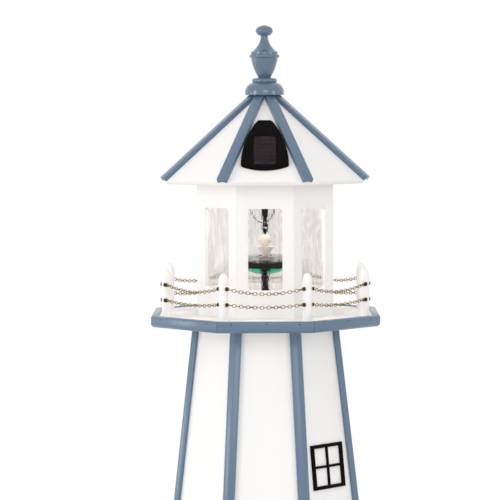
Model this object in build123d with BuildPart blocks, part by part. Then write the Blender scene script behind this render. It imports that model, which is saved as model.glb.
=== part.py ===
from build123d import *
import math
import os

# Solar lighthouse light for a garden: an eight-sided tapered tower with a railed deck,
# a glazed lantern with a revolving beacon, and a lift-off roof with a solar unit.
# Millimetres, +Z up, origin on the floor under the axis, the solar unit faces -Y.

os.makedirs("parts", exist_ok=True)

# Tower
side_count = 8
arc_steps = 4
tower_height = 644.5
tower_bottom_flats = 426.0
tower_top_flats = 281.0
tower_board = 12.7
mitre_gap = 0.2
trim_leg = 14.0
trim_thickness = 6.0
skirt_height = 70.0
skirt_thickness = 19.0
skirt_chamfer = 5.0

# Window frame on the right-front tower board
window_face = 1
window_frame_width = 90.0
window_frame_height = 89.0
window_frame_middle = 367.0
window_side_bar = 9.0
window_end_bar = 7.0
window_muntin = 5.0
window_frame_thickness = 4.0

# Deck and railing
deck_flats = 457.2
deck_thickness = 19.0
rim_thickness = 15.0
rim_height = 22.5
rim_drop = 1.5
rim_chamfer = 2.5
rim_bottom_chamfer = 4.8
post_diameter = 19.0
post_height = 95.0
post_tip_height = 17.0
post_tip_bulge = 0.9
post_tip_steps = 2
post_cap_radius = 6.6
post_cap_height = 5.0
post_crown_radius = 3.2
post_crown_height = 1.0
post_setback = 15.9
upper_screw_height = 64.3
lower_screw_height = 33.3
screw_swing = 57.0
screw_sides = 8
screw_shank_radius = 1.2
screw_head_radius = 4.0
screw_crown_radius = 2.2
screw_head_height = 2.4
fit_gap = 0.15

# Chain
link_pitch = 10.0
link_wire = 1.6
link_wire_sides = 3
link_width = 7.4
link_end_width = 5.6
link_play = 0.3
link_turn_play = 0.5
upper_sag = 9.2
lower_sag = 5.0

# Lantern
lantern_flats = 273.0
lantern_height = 267.5
lantern_board = 12.7
glass_opening_width = 68.0
glass_opening_height = 162.0
glass_opening_sill = 55.0
glass_opening_radius = 6.0
glass_lap = 5.0
glass_rebate = 4.5
glass_thickness = 4.0
glass_side_gap = 0.3

# Roof
roof_flats = 402.0
roof_pitch = 42.6
roof_board = 6.0
roof_board_top_radius = 23.0
eave_drop = 3.0
rib_width = 20.5
rib_thickness = 7.4
rib_overhang = 0.5
rib_top_radius = 26.0
roof_plate_thickness = 12.0
cleat_length = 60.0
cleat_width = 18.0
cleat_depth = 20.0
cleat_gap = 1.0

# Finial, radii and heights above its seat
finial_base_radius = 39.4
finial_seat_radius = 31.0
finial_lip_height = 2.2
finial_dome_top_radius = 24.0
finial_dome_height = 25.2
finial_dome_bulge = 5.4
finial_ring_height = 8.8
finial_ring_top_radius = 19.0
finial_ring_bulge = 3.8
finial_neck_radius = 12.4
finial_neck_height = 35.5
finial_urn_radius = 27.0
finial_urn_height = 74.5
finial_urn_bulge = 2.2
finial_bead_height = 8.0
finial_bead_bulge = 3.4
finial_shoulder_height = 4.2
finial_stem_radius = 6.9
finial_stem_height = 118.6
finial_stem_hollow = 4.6
finial_ball_radius = 17.6
finial_ball_middle = 129.5
finial_ball_bulge = 2.4
finial_ball_crown = 1.2
finial_cap_radius = 11.8
finial_cap_height = 3.4
finial_crown_radius = 6.0
finial_crown_drop = 0.9
finial_height = 141.0

# Solar unit on the front roof board, sizes in the plane of the board
solar_eave_distance = 30.0
solar_length = 136.0
solar_bottom_half_width = 47.2
solar_bottom_rise = 12.0
solar_shoulder_distance = 22.0
solar_top_half_width = 12.5
solar_side_bulge = 5.0
solar_shoulder_bulge = 1.0
solar_corner_radius = 6.0
solar_thickness = 9.0
solar_wall = 2.0
solar_top_wall = 4.0
solar_rib_gap = 3.0
cell_columns = 4
cell_rows = 7
cell_width = 10.0
cell_height = 10.3
cell_spacing = 1.0
cell_thickness = 0.6
cell_field_bottom = 12.0
cell_recess_depth = 2.0
cell_recess_gap = 1.0
solar_cover_gap = 0.2

# Battery and circuit inside the roof
battery_radius = 7.2
battery_length = 50.0
battery_wall = 2.0
battery_tray_height = 10.0
battery_offset = 62.0
board_length = 52.0
board_width = 34.0
board_thickness = 1.6
board_post_height = 6.0
board_post_radius = 3.0
board_post_inset = 4.5
board_chip = 10.0
board_chip_spacing = 20.0
board_chip_height = 2.5
board_offset = 62.0

# Beacon on its post, radii and heights above the lantern floor
stand_foot_radius = 30.0
stand_foot_height = 6.0
stand_radius = 7.0
stand_bulge_depth = 1.5
stand_bulge_length = 14.0
stand_bulge_height = 42.0
stand_height = 75.0
motor_radius = 5.2
motor_length = 34.0
motor_gap = 0.1
shaft_radius = 1.5
shaft_clearance = 0.05
shaft_engagement = 22.0
rotor_gap = 0.4
hub_radius = 7.0
hub_flare_radius = 20.0
hub_flare_hollow = 4.1
hub_height = 18.0
hub_web = 3.0
rotor_radius = 50.0
rotor_rim_width = 4.0
rotor_rim_height = 9.0
green_lens_wall = 2.0
green_lens_drop = 15.0
green_lens_inner_radius = 10.0
green_lens_bulge = 3.6
clear_lens_lobes = 8
clear_lens_lobe_radius = 14.0
clear_lens_lobe_distance = 30.5
clear_lens_inner_radius = 24.0
clear_lens_height = 20.0

# Lamp that hangs from the roof plate over the beacon
lamp_gap = 12.0
cone_height = 26.0
cone_radius = 18.0
cone_wall = 1.6
cone_tip_radius = 0.8
bulb_radius = 12.0
bulb_height = 25.0
bulb_shoulder_height = 7.5
bulb_head_bulge = 3.3
bulb_collar_radius = 8.0
bulb_collar_height = 4.0
bulb_tip_radius = 3.2
bulb_tip_length = 14.0
hanger_flange_radius = 18.0
hanger_flange_height = 4.0
hanger_radius = 7.0
hanger_waist_radius = 4.2
hanger_taper_length = 20.0
hanger_eye_length = 24.0
hanger_eye_bulge = 2.7
hanger_eye_hole = 2.2
hanger_eye_hole_height = 13.0
hanger_tip_radius = 2.5

# Thin wire in a free loop below the roof plate, heights down from the plate
wire_diameter = 2.0
wire_bend_share = 0.45
wire_route = [
    (-34.0, -4.0, 0.0),
    (-33.5, -6.0, -26.0),
    (-32.0, -9.5, -55.0),
    (-25.0, -12.5, -71.0),
    (-12.0, -14.0, -84.5),
    (3.0, -14.0, -85.0),
    (14.0, -12.5, -73.0),
    (20.5, -9.5, -55.0),
    (22.0, -6.0, -26.0),
    (22.5, -4.0, 0.0),
]

# Values that follow from the sizes above
half_step = 180.0 / side_count
half_tan = math.tan(math.radians(half_step))
half_cos = math.cos(math.radians(half_step))
half_sin = math.sin(math.radians(half_step))
deck_apothem = deck_flats / 2
deck_inner_apothem = deck_apothem - rim_thickness
deck_top = tower_height + deck_thickness
lantern_apothem = lantern_flats / 2
lantern_inner_apothem = lantern_apothem - lantern_board
lantern_top = deck_top + lantern_height
roof_apothem = roof_flats / 2
pitch_tan = math.tan(math.radians(roof_pitch))
pitch_cos = math.cos(math.radians(roof_pitch))
pitch_sin = math.sin(math.radians(roof_pitch))
roof_board_plumb = roof_board / pitch_cos
eave_low = lantern_top - eave_drop
eave_high = eave_low + roof_board_plumb
hip_angle = math.atan(pitch_tan * half_cos)
roof_corner_radius = roof_apothem / half_cos
plate_top = lantern_top + roof_plate_thickness


def face_angle(index):
    """Direction in degrees of one face: 0 is the front, then anticlockwise from above."""
    return -90.0 + index * 2 * half_step


def corner_angle(index):
    """Direction in degrees of the corner that follows one face."""
    return face_angle(index) + half_step


def level_plane(angle, height):
    """Level plane whose x axis points outwards in the given direction."""
    return Plane.XY.rotated((0, 0, angle)).offset(height)


def upright_plane(angle):
    """Upright plane through the axis: local x points outwards and local y up."""
    outward = Vector(1, 0, 0).rotate(Axis.Z, angle)
    return Plane(origin=(0, 0, 0), x_dir=outward, z_dir=outward.cross(Vector(0, 0, 1)))


def wall_plane(index, apothem, height, lean=0.0):
    """Plane on a face, with local x level and local z outwards, leaning back by some degrees."""
    outward = Vector(1, 0, 0).rotate(Axis.Z, face_angle(index))
    tangent = Vector(0, 0, 1).cross(outward)
    normal = outward.rotate(Axis((0, 0, 0), tangent), -lean)
    return Plane(origin=outward * apothem + Vector(0, 0, height), x_dir=tangent, z_dir=normal)


def section_plane(height):
    """Upright plane for turned outlines: local x is the radius and local y the height."""
    return Plane(origin=(0, 0, height), x_dir=(1, 0, 0), z_dir=(0, -1, 0))


def arc_points(start, end, bulge, steps=arc_steps):
    """Points from start to end along a shallow arc of an outline; a plus bulge is to the left."""
    arc = SagittaArc(start, end, bulge, mode=Mode.PRIVATE)
    places = [arc @ (step / steps) for step in range(steps + 1)]
    return [(place.X, place.Y) for place in places]


def mitred_outline(inner, outer):
    """Plan of one board of a ring, square to local x, with mitred ends."""
    gap = mitre_gap / 2 / half_cos
    inner_half = inner * half_tan - gap
    outer_half = outer * half_tan - gap
    return [(inner, -inner_half), (outer, -outer_half), (outer, outer_half), (inner, inner_half)]


def tower_apothem(height):
    """Distance from the axis to the outside of the tower's boards."""
    share = height / tower_height
    return (tower_bottom_flats + (tower_top_flats - tower_bottom_flats) * share) / 2


def roof_top_apothem(height):
    """Distance from the axis to the top side of the roof boards."""
    return roof_apothem - (height - eave_high) / pitch_tan


def roof_under_apothem(height):
    """Distance from the axis to the underside of the roof boards."""
    return roof_apothem - (height - eave_low) / pitch_tan


def roof_top_height(apothem):
    """Height of the top side of the roof boards."""
    return eave_high + (roof_apothem - apothem) * pitch_tan


def hip_height(radius):
    """Height of the line where two roof boards meet on top."""
    return eave_high + (roof_corner_radius - radius) * math.tan(hip_angle)


def octagon(apothem, mode=Mode.ADD):
    """Plan octagon with a flat to the front."""
    return RegularPolygon(apothem, side_count, major_radius=False, rotation=half_step, mode=mode)


def save(builder, name):
    """Label a finished sub-part and write it."""
    builder.part.label = name
    export_step(builder.part, f"parts/{name}.step")


# Tower boards: tapered, with mitred edges
for index in range(side_count):
    with BuildPart() as tower_panel:
        for height in (0, tower_height):
            outer = tower_apothem(height)
            with BuildSketch(level_plane(face_angle(index), height)):
                Polygon(*mitred_outline(outer - tower_board, outer), align=None)
        loft(ruled=True)
    save(tower_panel, f"tower_panel_{index + 1}")


def trim_outline(height):
    """Plan of a V batten that hugs a corner of the tower."""
    ridge = Vector(tower_apothem(height) / half_cos + trim_thickness / half_cos, 0)
    right = []
    left = []
    for side, points in ((1, right), (-1, left)):
        along = Vector(-half_sin, side * half_cos)
        inward = Vector(-half_cos, -side * half_sin)
        end = ridge + along * trim_leg
        points.append((end.X, end.Y))
        points.append(((end + inward * trim_thickness).X, (end + inward * trim_thickness).Y))
    corner = (tower_apothem(height) / half_cos, 0)
    return [(ridge.X, 0), *right, corner, *reversed(left)]


# Corner battens of the tower, from the skirt to the deck
for index in range(side_count):
    with BuildPart() as corner_trim:
        for height in (skirt_height, tower_height):
            with BuildSketch(level_plane(corner_angle(index), height)):
                Polygon(*trim_outline(height), align=None)
        loft(ruled=True)
    save(corner_trim, f"corner_trim_{index + 1}")

# Skirt boards that lie against the foot of the tower
with BuildPart() as base_skirt:
    for index in range(side_count):
        for height in (0, skirt_height):
            inner = tower_apothem(height)
            with BuildSketch(level_plane(face_angle(index), height)):
                Polygon(*mitred_outline(inner, inner + skirt_thickness), align=None)
        loft(ruled=True)
    skirt_top_edges = base_skirt.edges().group_by(Axis.Z)[-1]
    chamfer(skirt_top_edges.group_by(SortBy.LENGTH)[-1], skirt_chamfer)
save(base_skirt, "base_skirt")

# Four-light window frame, flat on the sloping board
tower_lean = math.degrees(math.atan((tower_bottom_flats - tower_top_flats) / 2 / tower_height))
light_width = (window_frame_width - 2 * window_side_bar - window_muntin) / 2
light_height = (window_frame_height - 2 * window_end_bar - window_muntin) / 2
window_plane = wall_plane(window_face, tower_apothem(window_frame_middle), window_frame_middle, tower_lean)
with BuildPart() as tower_window:
    with BuildSketch(window_plane):
        Rectangle(window_frame_width, window_frame_height)
        with GridLocations(light_width + window_muntin, light_height + window_muntin, 2, 2):
            Rectangle(light_width, light_height, mode=Mode.SUBTRACT)
    extrude(amount=window_frame_thickness)
save(tower_window, "tower_window")

# Deck floor
with BuildPart() as deck_board:
    with BuildSketch(Plane.XY.offset(tower_height)):
        octagon(deck_inner_apothem)
    extrude(amount=deck_thickness)
save(deck_board, "deck_board")

# Mitred rim boards round the deck
with BuildPart() as deck_rim:
    rim_planes = [level_plane(face_angle(index), tower_height - rim_drop) for index in range(side_count)]
    with BuildSketch(*rim_planes):
        Polygon(*mitred_outline(deck_inner_apothem, deck_apothem), align=None)
    extrude(amount=rim_height)
    for level, size in ((0, rim_bottom_chamfer), (-1, rim_chamfer)):
        rim_edges = deck_rim.edges().group_by(SortBy.LENGTH)[-1]
        chamfer(rim_edges.group_by(Axis.Z)[level], size)
save(deck_rim, "deck_rim")

# Railing posts: turned dowels with a bullet tip
post_radius = post_diameter / 2
post_circle = (deck_inner_apothem - post_setback) / half_cos
post_shoulder = post_height - post_tip_height
post_cap_bottom = post_height - post_cap_height
post_tip = arc_points(
    (post_radius, post_shoulder), (post_cap_radius, post_cap_bottom), -post_tip_bulge, post_tip_steps
)
with BuildPart() as post:
    with BuildSketch(section_plane(0)):
        Polygon(
            (0, post_height),
            (0, 0),
            (post_radius, 0),
            *post_tip,
            (post_crown_radius, post_height - post_crown_height),
            align=None,
        )
    revolve(axis=Axis.Z)
with BuildPart() as railing_posts:
    with Locations((0, 0, deck_top)):
        with PolarLocations(post_circle, side_count, start_angle=half_step):
            add(post.part)
save(railing_posts, "railing_posts")

# Chain screw: local x is its axis, with room for one link between the post and the head
link_seat = post_radius + fit_gap + link_wire / 2
screw_head_seat = link_seat + link_wire / 2 + fit_gap
with BuildPart() as chain_screw:
    with BuildSketch(Plane.YZ.offset(post_radius + fit_gap)):
        RegularPolygon(screw_shank_radius, screw_sides)
    extrude(amount=screw_head_seat - post_radius - fit_gap)
    for radius, height in ((screw_head_radius, 0), (screw_crown_radius, screw_head_height)):
        with BuildSketch(Plane.YZ.offset(screw_head_seat + height)):
            RegularPolygon(radius, screw_sides)
    loft(ruled=True)


def span_plane(index, height):
    """Level plane with its origin at a post and local x towards the next post."""
    along = Vector(1, 0, 0).rotate(Axis.Z, face_angle(index) + 90)
    post_place = Vector(post_circle, 0, height).rotate(Axis.Z, face_angle(index) - half_step)
    return Plane(origin=post_place, x_dir=along, z_dir=(0, 0, 1))


# Two screws to a span, turned from the span's direction towards the outside
span_length = 2 * post_circle * half_sin
screw_turn = 90 + half_step - screw_swing
near_screw = Location((0, 0, 0), (0, 0, -screw_turn))
far_screw = Location((span_length, 0, 0), (0, 0, 180 + screw_turn))
with BuildPart() as chain_screws:
    for screw_height in (upper_screw_height, lower_screw_height):
        for index in range(side_count):
            with Locations(span_plane(index, deck_top + screw_height).location):
                with Locations(near_screw, far_screw):
                    add(chain_screw.part)
save(chain_screws, "chain_screws")


def chain_link(pitch):
    """One link: a ring of wire with its flat side inwards, and its long way on local x."""
    wire_flat = link_wire / 2 * math.cos(math.pi / link_wire_sides)
    long_middle = pitch + 2 * wire_flat + link_play
    wide_middle = link_width - link_wire
    end_middle = link_end_width - link_wire
    with BuildPart() as link:
        with BuildLine():
            Polyline(
                (long_middle / 2, 0),
                (long_middle / 2, end_middle / 2),
                (0, wide_middle / 2),
                (-long_middle / 2, end_middle / 2),
                (-long_middle / 2, -end_middle / 2),
                (0, -wide_middle / 2),
                (long_middle / 2, -end_middle / 2),
                close=True,
            )
        with BuildSketch(Plane(origin=(long_middle / 2, 0, 0), x_dir=(1, 0, 0), z_dir=(0, 1, 0))):
            RegularPolygon(link_wire / 2, link_wire_sides)
        sweep(transition=Transition.RIGHT)
    return link.part


def chain(sag, screw_height):
    """One row round the deck: end links flat on the posts, and links in turn along a sagging line."""
    screw_across = link_seat * math.cos(math.radians(screw_turn))
    open_length = span_length - 2 * screw_across
    slope = math.atan(4 * sag / open_length)
    slack = 1 + 8 / 3 * (sag / open_length) ** 2
    end_share = math.cos(slope) * math.sin(math.radians(screw_turn))
    end_slip = screw_shank_radius + fit_gap - link_play / 2
    end_loss = end_slip + link_turn_play
    link_count = 2 * round(slack * open_length / link_pitch / 2 - end_share - 0.5) + 1
    pitch = slack * (open_length + 2 * end_loss * end_share) / (link_count + 2 * slack * end_share)
    link = chain_link(pitch)
    places = []
    for screw, side in ((near_screw, 1), (far_screw, -1)):
        end_way = Vector(0, side * math.cos(slope), -math.sin(slope))
        end_middle = Vector(link_seat, 0, 0) + end_way * (pitch / 2 - end_slip)
        places.append(screw * Plane(origin=end_middle, x_dir=end_way, z_dir=(1, 0, 0)).location)
        if side == 1:
            first = (screw * Location(end_middle + end_way * (pitch / 2 - link_turn_play))).position
    reach = span_length - 2 * first.X
    points = []
    for number in range(link_count + 1):
        share = number / link_count
        points.append(first + Vector(reach * share, 0, -4 * sag * share * (1 - share)))
    for number, (start, end) in enumerate(zip(points, points[1:])):
        lean = math.degrees(math.atan2(end.Z - start.Z, end.X - start.X))
        turn = 90 * (number % 2)
        sloped = Location((start + end) / 2) * Location((0, 0, 0), (0, -lean, 0))
        places.append(sloped * Location((0, 0, 0), (turn, 0, 0)))
    with BuildPart() as row:
        for index in range(side_count):
            with Locations(span_plane(index, deck_top + screw_height).location):
                with Locations(*places):
                    add(link)
    return row


save(chain(upper_sag, upper_screw_height), "upper_chain")
save(chain(lower_sag, lower_screw_height), "lower_chain")

# Lantern boards with round-cornered openings, rebated inside for the panes
opening_middle = deck_top + glass_opening_sill + glass_opening_height / 2
rebate_floor = lantern_inner_apothem + glass_rebate
pane_width = glass_opening_width + 2 * glass_lap
pane_height = glass_opening_height + 2 * glass_lap
with BuildPart() as lantern_walls:
    with BuildSketch(*[level_plane(face_angle(index), deck_top) for index in range(side_count)]):
        Polygon(*mitred_outline(lantern_inner_apothem, lantern_apothem), align=None)
    extrude(amount=lantern_height)
    with BuildSketch(*[wall_plane(index, lantern_apothem, opening_middle) for index in range(side_count)]):
        RectangleRounded(glass_opening_width, glass_opening_height, glass_opening_radius)
    extrude(amount=-lantern_board, mode=Mode.SUBTRACT)
    with BuildSketch(*[wall_plane(index, rebate_floor, opening_middle) for index in range(side_count)]):
        Rectangle(pane_width, pane_height)
    extrude(amount=-glass_rebate, mode=Mode.SUBTRACT)
save(lantern_walls, "lantern_walls")

# Panes in the rebates
with BuildPart() as lantern_panes:
    with BuildSketch(*[wall_plane(index, rebate_floor, opening_middle) for index in range(side_count)]):
        Rectangle(pane_width - 2 * glass_side_gap, pane_height - 2 * glass_side_gap)
    extrude(amount=-glass_thickness)
save(lantern_panes, "lantern_panes")

# Roof boards: pitched, with plumb-cut eaves and mitred hips
wedge_start = mitre_gap / 2 / half_sin
wedge_half = (2 * roof_apothem - wedge_start) * half_tan
for index in range(side_count):
    with BuildPart() as roof_panel:
        with BuildSketch(upright_plane(face_angle(index))):
            board_top = roof_top_height(roof_board_top_radius)
            Polygon(
                (roof_apothem, eave_low),
                (roof_apothem, eave_high),
                (roof_board_top_radius, board_top),
                (roof_board_top_radius, board_top - roof_board_plumb),
                align=None,
            )
        extrude(amount=roof_apothem, both=True)
        with BuildSketch(level_plane(face_angle(index), lantern_top - lantern_height)):
            Polygon(
                (wedge_start, 0),
                (2 * roof_apothem, -wedge_half),
                (2 * roof_apothem, wedge_half),
                align=None,
            )
        extrude(amount=2 * lantern_height, mode=Mode.INTERSECT)
    save(roof_panel, f"roof_panel_{index + 1}")

# Hip battens: flat on top, cut underneath to sit over the hip, level under the finial
rib_end = roof_corner_radius + rib_overhang
rib_rise = rib_thickness / math.cos(hip_angle)
finial_seat = hip_height(finial_seat_radius) + rib_rise
rib_normal = Vector(math.sin(hip_angle), math.cos(hip_angle))
for index in range(side_count):
    with BuildPart() as roof_rib:
        end_point = Vector(rib_end, hip_height(rib_end))
        end_high = end_point + rib_normal * rib_thickness
        end_low = end_point - rib_normal * rib_thickness
        with BuildSketch(upright_plane(corner_angle(index))):
            Polygon(
                (end_low.X, end_low.Y),
                (end_high.X, end_high.Y),
                (rib_top_radius, hip_height(rib_top_radius) + rib_rise),
                (rib_top_radius, hip_height(rib_top_radius) - rib_rise),
                align=None,
            )
        extrude(amount=rib_width / 2, both=True)
        for height in (eave_low - 2 * rib_rise, hip_height(rib_top_radius) + rib_thickness):
            with BuildSketch(Plane.XY.offset(height)):
                octagon(roof_top_apothem(height))
        loft(ruled=True, mode=Mode.SUBTRACT)
        split(bisect_by=Plane.XY.offset(finial_seat), keep=Keep.BOTTOM)
    save(roof_rib, f"roof_rib_{index + 1}")

# Plate that carries the roof boards and rests on the lantern
with BuildPart() as roof_plate:
    for height in (lantern_top, plate_top):
        with BuildSketch(Plane.XY.offset(height)):
            octagon(roof_under_apothem(height))
    loft(ruled=True)
save(roof_plate, "roof_plate")

# Blocks under the plate that keep the roof centred in the lantern
cleat_middle = lantern_inner_apothem - cleat_gap - cleat_width / 2
with BuildPart() as roof_cleats:
    with BuildSketch(*[level_plane(face_angle(index), lantern_top) for index in range(side_count)]):
        with Locations((cleat_middle, 0)):
            Rectangle(cleat_width, cleat_length)
    extrude(amount=-cleat_depth)
save(roof_cleats, "roof_cleats")

# Turned finial on the level tops of the battens
finial_ring_top = finial_dome_height + finial_ring_height
finial_bead_top = finial_urn_height + finial_bead_height
finial_shoulder = finial_bead_top + finial_shoulder_height
finial_cap_bottom = finial_height - finial_cap_height
finial_dome_top = (finial_dome_top_radius, finial_dome_height)
finial_neck = (finial_neck_radius, finial_neck_height)
finial_urn_top = (finial_urn_radius, finial_urn_height)
finial_stem_top = (finial_stem_radius, finial_stem_height)
finial_ball_side = (finial_ball_radius, finial_ball_middle)
finial_cap = (finial_cap_radius, finial_cap_bottom)
finial_outline = [
    (0, 0),
    (finial_base_radius, 0),
    *arc_points((finial_base_radius, finial_lip_height), finial_dome_top, -finial_dome_bulge),
    *arc_points(finial_dome_top, (finial_ring_top_radius, finial_ring_top), -finial_ring_bulge)[1:],
    *arc_points(finial_neck, finial_urn_top, -finial_urn_bulge),
    *arc_points(finial_urn_top, (finial_urn_radius, finial_bead_top), -finial_bead_bulge)[1:],
    *arc_points((finial_urn_radius, finial_shoulder), finial_stem_top, finial_stem_hollow),
    *arc_points(finial_stem_top, finial_ball_side, -finial_ball_bulge)[1:],
    *arc_points(finial_ball_side, finial_cap, -finial_ball_crown)[1:],
    (finial_crown_radius, finial_height - finial_crown_drop),
    (0, finial_height),
]
with BuildPart() as finial:
    with BuildSketch(section_plane(finial_seat)):
        Polygon(*finial_outline, align=None)
    revolve(axis=Axis.Z)
save(finial, "finial")

# Solar unit: a bell-shaped case, flat on the front roof board
solar_foot = roof_apothem - solar_eave_distance * pitch_cos
solar_plane = Plane(
    origin=(0, -solar_foot, roof_top_height(solar_foot)),
    x_dir=(1, 0, 0),
    z_dir=(0, -pitch_sin, pitch_cos),
)
solar_shoulder = solar_length - solar_shoulder_distance
solar_shoulder_radius = solar_foot - solar_shoulder * pitch_cos
solar_shoulder_half = solar_shoulder_radius * half_tan - rib_width / 2 / half_cos - solar_rib_gap
with BuildPart() as solar_case:
    for inset, depth, mode in (
        (0.0, solar_thickness, Mode.ADD),
        (solar_wall, solar_thickness - solar_top_wall, Mode.SUBTRACT),
    ):
        foot_half = solar_bottom_half_width - inset
        foot_rise = solar_bottom_rise + inset
        shoulder_half = solar_shoulder_half - inset
        top_half = solar_top_half_width - inset
        top = solar_length - inset
        with BuildSketch(solar_plane) as solar_outline:
            with BuildLine():
                ThreePointArc((-foot_half, foot_rise), (0, inset), (foot_half, foot_rise))
                SagittaArc((foot_half, foot_rise), (shoulder_half, solar_shoulder), -solar_side_bulge)
                SagittaArc((shoulder_half, solar_shoulder), (top_half, top), -solar_shoulder_bulge)
                Line((top_half, top), (-top_half, top))
                SagittaArc((-top_half, top), (-shoulder_half, solar_shoulder), -solar_shoulder_bulge)
                SagittaArc((-shoulder_half, solar_shoulder), (-foot_half, foot_rise), -solar_side_bulge)
            make_face()
            fillet(solar_outline.vertices().group_by(Axis.Y)[0], solar_corner_radius - inset)
        extrude(amount=depth, mode=mode)
    cell_field_width = cell_columns * (cell_width + cell_spacing) - cell_spacing
    cell_field_height = cell_rows * (cell_height + cell_spacing) - cell_spacing
    cell_field_middle = cell_field_bottom + cell_field_height / 2
    recess_width = cell_field_width + 2 * cell_recess_gap
    recess_height = cell_field_height + 2 * cell_recess_gap
    with BuildSketch(solar_plane.offset(solar_thickness)):
        with Locations((0, cell_field_middle)):
            Rectangle(recess_width, recess_height)
    extrude(amount=-cell_recess_depth, mode=Mode.SUBTRACT)
save(solar_case, "solar_case")

# Solar cells on the floor of the recess
cell_floor = solar_plane.offset(solar_thickness - cell_recess_depth)
cell_step_across = cell_width + cell_spacing
cell_step_up = cell_height + cell_spacing
with BuildPart() as solar_cells:
    with BuildSketch(cell_floor):
        with Locations((0, cell_field_middle)):
            with GridLocations(cell_step_across, cell_step_up, cell_columns, cell_rows):
                Rectangle(cell_width, cell_height)
    extrude(amount=cell_thickness)
save(solar_cells, "solar_cells")

# Clear cover over the cells, flush with the case
with BuildPart() as solar_cover:
    with BuildSketch(cell_floor.offset(cell_thickness)):
        with Locations((0, cell_field_middle)):
            Rectangle(recess_width - 2 * solar_cover_gap, recess_height - 2 * solar_cover_gap)
    extrude(amount=cell_recess_depth - cell_thickness)
save(solar_cover, "solar_cover")

# Battery tray with two cells, on the roof plate behind the axis
tray_length = battery_length + 2 * battery_wall
tray_width = 4 * battery_radius + 3 * battery_wall
battery_step = 2 * battery_radius + battery_wall
with BuildPart() as battery_pack:
    with BuildSketch(Plane.XY.offset(plate_top)):
        with Locations((0, battery_offset)):
            Rectangle(tray_length, tray_width)
    extrude(amount=battery_tray_height)
    with BuildSketch(Plane.XY.offset(plate_top + battery_wall)):
        with Locations((0, battery_offset)):
            with GridLocations(0, battery_step, 1, 2):
                Rectangle(battery_length, 2 * battery_radius)
    extrude(amount=battery_tray_height, mode=Mode.SUBTRACT)
    with BuildSketch(Plane.YZ.offset(fit_gap - battery_length / 2)):
        with Locations((battery_offset, plate_top + battery_wall + battery_radius)):
            with GridLocations(battery_step, 0, 2, 1):
                Circle(battery_radius - fit_gap)
    extrude(amount=battery_length - 2 * fit_gap)
save(battery_pack, "battery_pack")

# Circuit board on four posts, on the roof plate in front of the axis
post_step_across = board_length - 2 * board_post_inset
post_step_back = board_width - 2 * board_post_inset
with BuildPart() as circuit_board:
    with BuildSketch(Plane.XY.offset(plate_top)):
        with Locations((0, -board_offset)):
            with GridLocations(post_step_across, post_step_back, 2, 2):
                Circle(board_post_radius)
    extrude(amount=board_post_height)
    with BuildSketch(Plane.XY.offset(plate_top + board_post_height)):
        with Locations((0, -board_offset)):
            Rectangle(board_length, board_width)
    extrude(amount=board_thickness)
    with BuildSketch(Plane.XY.offset(plate_top + board_post_height + board_thickness)):
        with Locations((0, -board_offset)):
            with GridLocations(board_chip_spacing, 0, 2, 1):
                Rectangle(board_chip, board_chip)
    extrude(amount=board_chip_height)
save(circuit_board, "circuit_board")

# Beacon post on the lantern floor, bored from the top for the motor
stand_bulge = arc_points(
    (stand_radius, stand_bulge_height - stand_bulge_length / 2),
    (stand_radius, stand_bulge_height + stand_bulge_length / 2),
    -stand_bulge_depth,
)
with BuildPart() as beacon_stand:
    with BuildSketch(section_plane(deck_top)):
        Polygon(
            (0, stand_height),
            (0, 0),
            (stand_foot_radius, 0),
            (stand_foot_radius, stand_foot_height / 2),
            (stand_radius, stand_foot_height),
            *stand_bulge,
            (stand_radius, stand_height),
            align=None,
        )
    revolve(axis=Axis.Z)
    with BuildSketch(Plane.XY.offset(deck_top + stand_height)):
        Circle(motor_radius + motor_gap)
    extrude(amount=-motor_length, mode=Mode.SUBTRACT)
save(beacon_stand, "beacon_stand")

# Motor in the post, with a blind bore for the shaft
stand_top = deck_top + stand_height
with BuildPart() as gear_motor:
    with BuildSketch(Plane.XY.offset(stand_top)):
        Circle(motor_radius)
    extrude(amount=-motor_length)
    with BuildSketch(Plane.XY.offset(stand_top)):
        Circle(shaft_radius + shaft_clearance)
    extrude(amount=-shaft_engagement - rotor_gap, mode=Mode.SUBTRACT)
save(gear_motor, "gear_motor")

# Rotor: a funnel-shaped hub with a web and a raised rim, bored for the shaft
hub_bottom = stand_top + rotor_gap
web_top = hub_bottom + hub_height + hub_web
hub_flare = arc_points((hub_flare_radius, hub_height), (hub_radius, 0), -hub_flare_hollow)
with BuildPart() as rotor_hub:
    with BuildSketch(section_plane(hub_bottom)):
        Polygon(
            (shaft_radius + shaft_clearance, 0),
            (shaft_radius + shaft_clearance, hub_height + hub_web),
            (rotor_radius - rotor_rim_width, hub_height + hub_web),
            (rotor_radius - rotor_rim_width, hub_height + rotor_rim_height),
            (rotor_radius, hub_height + rotor_rim_height),
            (rotor_radius, hub_height),
            *hub_flare,
            align=None,
        )
    revolve(axis=Axis.Z)
save(rotor_hub, "rotor_hub")

# Shaft of the rotor, from the motor up to the top of the hub
with BuildPart() as rotor_shaft:
    with BuildSketch(Plane.XY.offset(stand_top - shaft_engagement)):
        Circle(shaft_radius)
    extrude(amount=web_top - stand_top + shaft_engagement)
save(rotor_shaft, "rotor_shaft")

# Teal lens: a shallow bowl under the rotor's web
green_lens_outer = rotor_radius - rotor_rim_width / 2
green_lens_outside = arc_points(
    (green_lens_inner_radius, -green_lens_drop), (green_lens_outer, 0), -green_lens_bulge
)
green_lens_inside = arc_points(
    (green_lens_outer - green_lens_wall, 0),
    (green_lens_inner_radius, green_lens_wall - green_lens_drop),
    green_lens_bulge,
)
with BuildPart() as green_lens:
    with BuildSketch(section_plane(hub_bottom + hub_height)):
        Polygon(*green_lens_outside, *green_lens_inside, align=None)
    revolve(axis=Axis.Z)
save(green_lens, "green_lens")

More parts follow.
